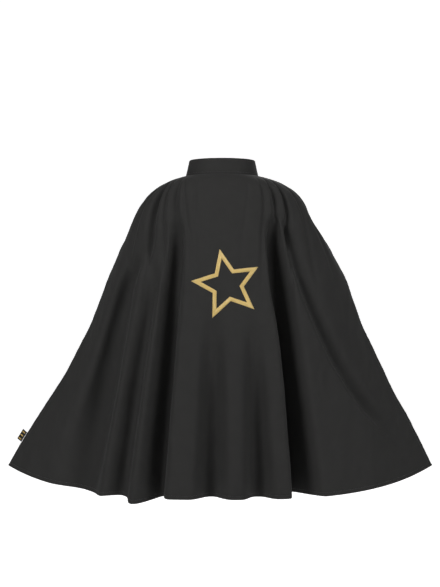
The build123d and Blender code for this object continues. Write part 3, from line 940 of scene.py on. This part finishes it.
def side_label():
    """The woven label folded double over itself, sewn to the left front edge."""
    v = np.array(1 + LABEL_PLACE)
    edge = drape(np.array(-1.0), v)
    n = normals_of(drape, np.array(-1.0), v)
    along = unit(drape(np.array(-1.0), v + 0.03) - drape(np.array(-1.0), v - 0.03))
    out = edge - drape(np.array(-0.97), v)
    out = unit(out - along * (out @ along))
    face = np.cross(along, out)
    start = edge - n * THICK / 2 + out * 0.55
    bend = 0.36
    run = LABEL_REACH - 0.2 - bend
    line = []
    faces = []
    for t in np.linspace(0, 1, 18):
        line.append(start + out * run * t + face * (bend - 0.12 * np.sin(np.pi * t)))
        faces.append(face)
    for a in np.linspace(0, np.pi, 9)[1:-1]:
        line.append(start + out * (run + bend * np.sin(a)) + face * bend * np.cos(a))
        faces.append(face * np.cos(a) + out * np.sin(a))
    for t in np.linspace(1, 0, 18):
        line.append(start + out * run * t - face * (bend - 0.12 * np.sin(np.pi * t)))
        faces.append(-face)
    line = np.array(line)
    faces = np.array(faces)
    along = np.broadcast_to(along, line.shape)
    name = "side_label_folded"
    obj = strip(name, line, along, faces, LABEL_LENGTH, 0.26, LABEL, "side_label")
    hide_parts("side_label")


def care_label():
    """A plain satin care label, folded double, hanging from the neck seam."""
    drop = np.linspace(0, CARE_LENGTH - 0.5, 26)
    wave = 0.06 * np.sin(drop / 5.0)
    x = np.zeros_like(drop)
    for sign, name in ((1, "care_label_front"), (-1, "care_label_rear")):
        centre = np.stack([x, CARE_Y + sign * 0.12 + wave, SEWN_Z - drop], -1)
        across = np.tile([1.0, 0, 0], (len(drop), 1))
        thick = np.tile([0, float(sign), 0], (len(drop), 1))
        width = CARE_WIDTH - 0.4
        obj = strip(name, centre, across, thick, width, 0.20, CARE, "care_label")
        if sign > 0:
            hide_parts("care_label")


def hanger_loop():
    """A flat woven tape bent into a U, sewn to the neck seam by its two legs."""
    mid = LOOP_HALF - LOOP_WIDTH / 2
    straight = LOOP_DROP - LOOP_HALF
    leg = np.linspace(0, straight, 12)
    arc = np.linspace(0, np.pi, 40)[1:-1]
    x = np.concatenate([np.full(12, -mid), -mid * np.cos(arc), np.full(12, mid)])
    z = np.concatenate([-leg, -straight - mid * np.sin(arc), -leg[::-1]]) + SEWN_Z
    centre = np.stack([x, np.full_like(x, LOOP_Y), z], -1)
    tangent = unit(np.gradient(centre, axis=0))
    thick = np.tile([0.0, 1.0, 0.0], (len(x), 1))
    across = np.cross(tangent, thick)
    name = "hanger_loop_tape"
    width = LOOP_WIDTH - 0.8
    obj = strip(name, centre, across, thick, width, 0.8, TAPE, "hanger_loop")
    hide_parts("hanger_loop")


# ---------------------------------------------------------------- light, floor and camera


def floor():
    """A pale floor that curves up behind. Only the camera sees it glow."""
    material, nodes, links, shader = nodes_of("pale_floor")
    shader.inputs["Base Color"].default_value = (0.86, 0.86, 0.86, 1)
    shader.inputs["Roughness"].default_value = 0.9
    shader.inputs["Specular IOR Level"].default_value = 0.1
    seen = add(nodes, "ShaderNodeLightPath")
    glow = add(nodes, "ShaderNodeMath", operation="MULTIPLY")
    links.new(seen.outputs["Is Camera Ray"], glow.inputs[0])
    glow.inputs[1].default_value = GLOW
    shader.inputs["Emission Color"].default_value = (1, 1, 1, 1)
    links.new(glow.outputs[0], shader.inputs["Emission Strength"])
    profile = [(-FLOOR_HALF, FLOOR_Z), (COVE_Y, FLOOR_Z)]
    for a in np.radians(np.arange(6, 91, 6)):
        profile.append((COVE_Y + COVE_R * np.sin(a), FLOOR_Z + COVE_R * (1 - np.cos(a))))
    profile.append((COVE_Y + COVE_R, COVE_TOP))
    verts = [(x / MM, y / MM, z / MM) for y, z in profile for x in (-FLOOR_HALF, FLOOR_HALF)]
    quads = [(2 * k, 2 * k + 1, 2 * k + 3, 2 * k + 2) for k in range(len(profile) - 1)]
    new_object("floor", np.array(verts, float), quads, material)


def world():
    """A white surround for the camera that hardly lights the cape."""
    surround = bpy.data.worlds.new("studio")
    surround.use_nodes = True
    sky = surround.node_tree
    seen = add(sky.nodes, "ShaderNodeLightPath")
    strength = add(sky.nodes, "ShaderNodeMapRange")
    sky.links.new(seen.outputs["Is Camera Ray"], strength.inputs["Value"])
    strength.inputs["To Min"].default_value = AMBIENT
    strength.inputs["To Max"].default_value = 1.0
    sky.nodes["Background"].inputs["Color"].default_value = (1, 1, 1, 1)
    sky.links.new(strength.outputs["Result"], sky.nodes["Background"].inputs["Strength"])
    bpy.context.scene.world = surround


def lights_and_camera():
    """The soft lights and the camera behind the cape."""
    for name, place, aim, size, power in LIGHTS:
        data = bpy.data.lights.new(name, "AREA")
        data.shape = "SQUARE"
        data.size = size
        data.energy = power
        light = bpy.data.objects.new(name, data)
        light.location = place
        light.rotation_mode = "QUATERNION"
        light.rotation_quaternion = (Vector(aim) - Vector(place)).to_track_quat("-Z", "Y")
        bpy.context.scene.collection.objects.link(light)
    camera = bpy.data.cameras.new("camera")
    camera.lens = CAMERA_LENS
    camera.clip_end = 50
    obj = bpy.data.objects.new("camera", camera)
    obj.location = CAMERA_PLACE
    obj.rotation_euler = (np.pi / 2, 0, 0)
    bpy.context.scene.collection.objects.link(obj)
    bpy.context.scene.camera = obj
    bpy.context.scene.view_settings.view_transform = "Standard"


columns, yoke_rows, skirt_rows = ((290, 90, 230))
for side in (-1, 1):
    shell_half(side, columns, yoke_rows, skirt_rows)
    hem_stitching(side)
    collar_half(side)
    collar_stitching(side)
neck_tape()
closure_tapes()
star_padding()
star_threads()
backing()
side_label()
care_label()
hanger_loop()
floor()
world()
lights_and_camera()
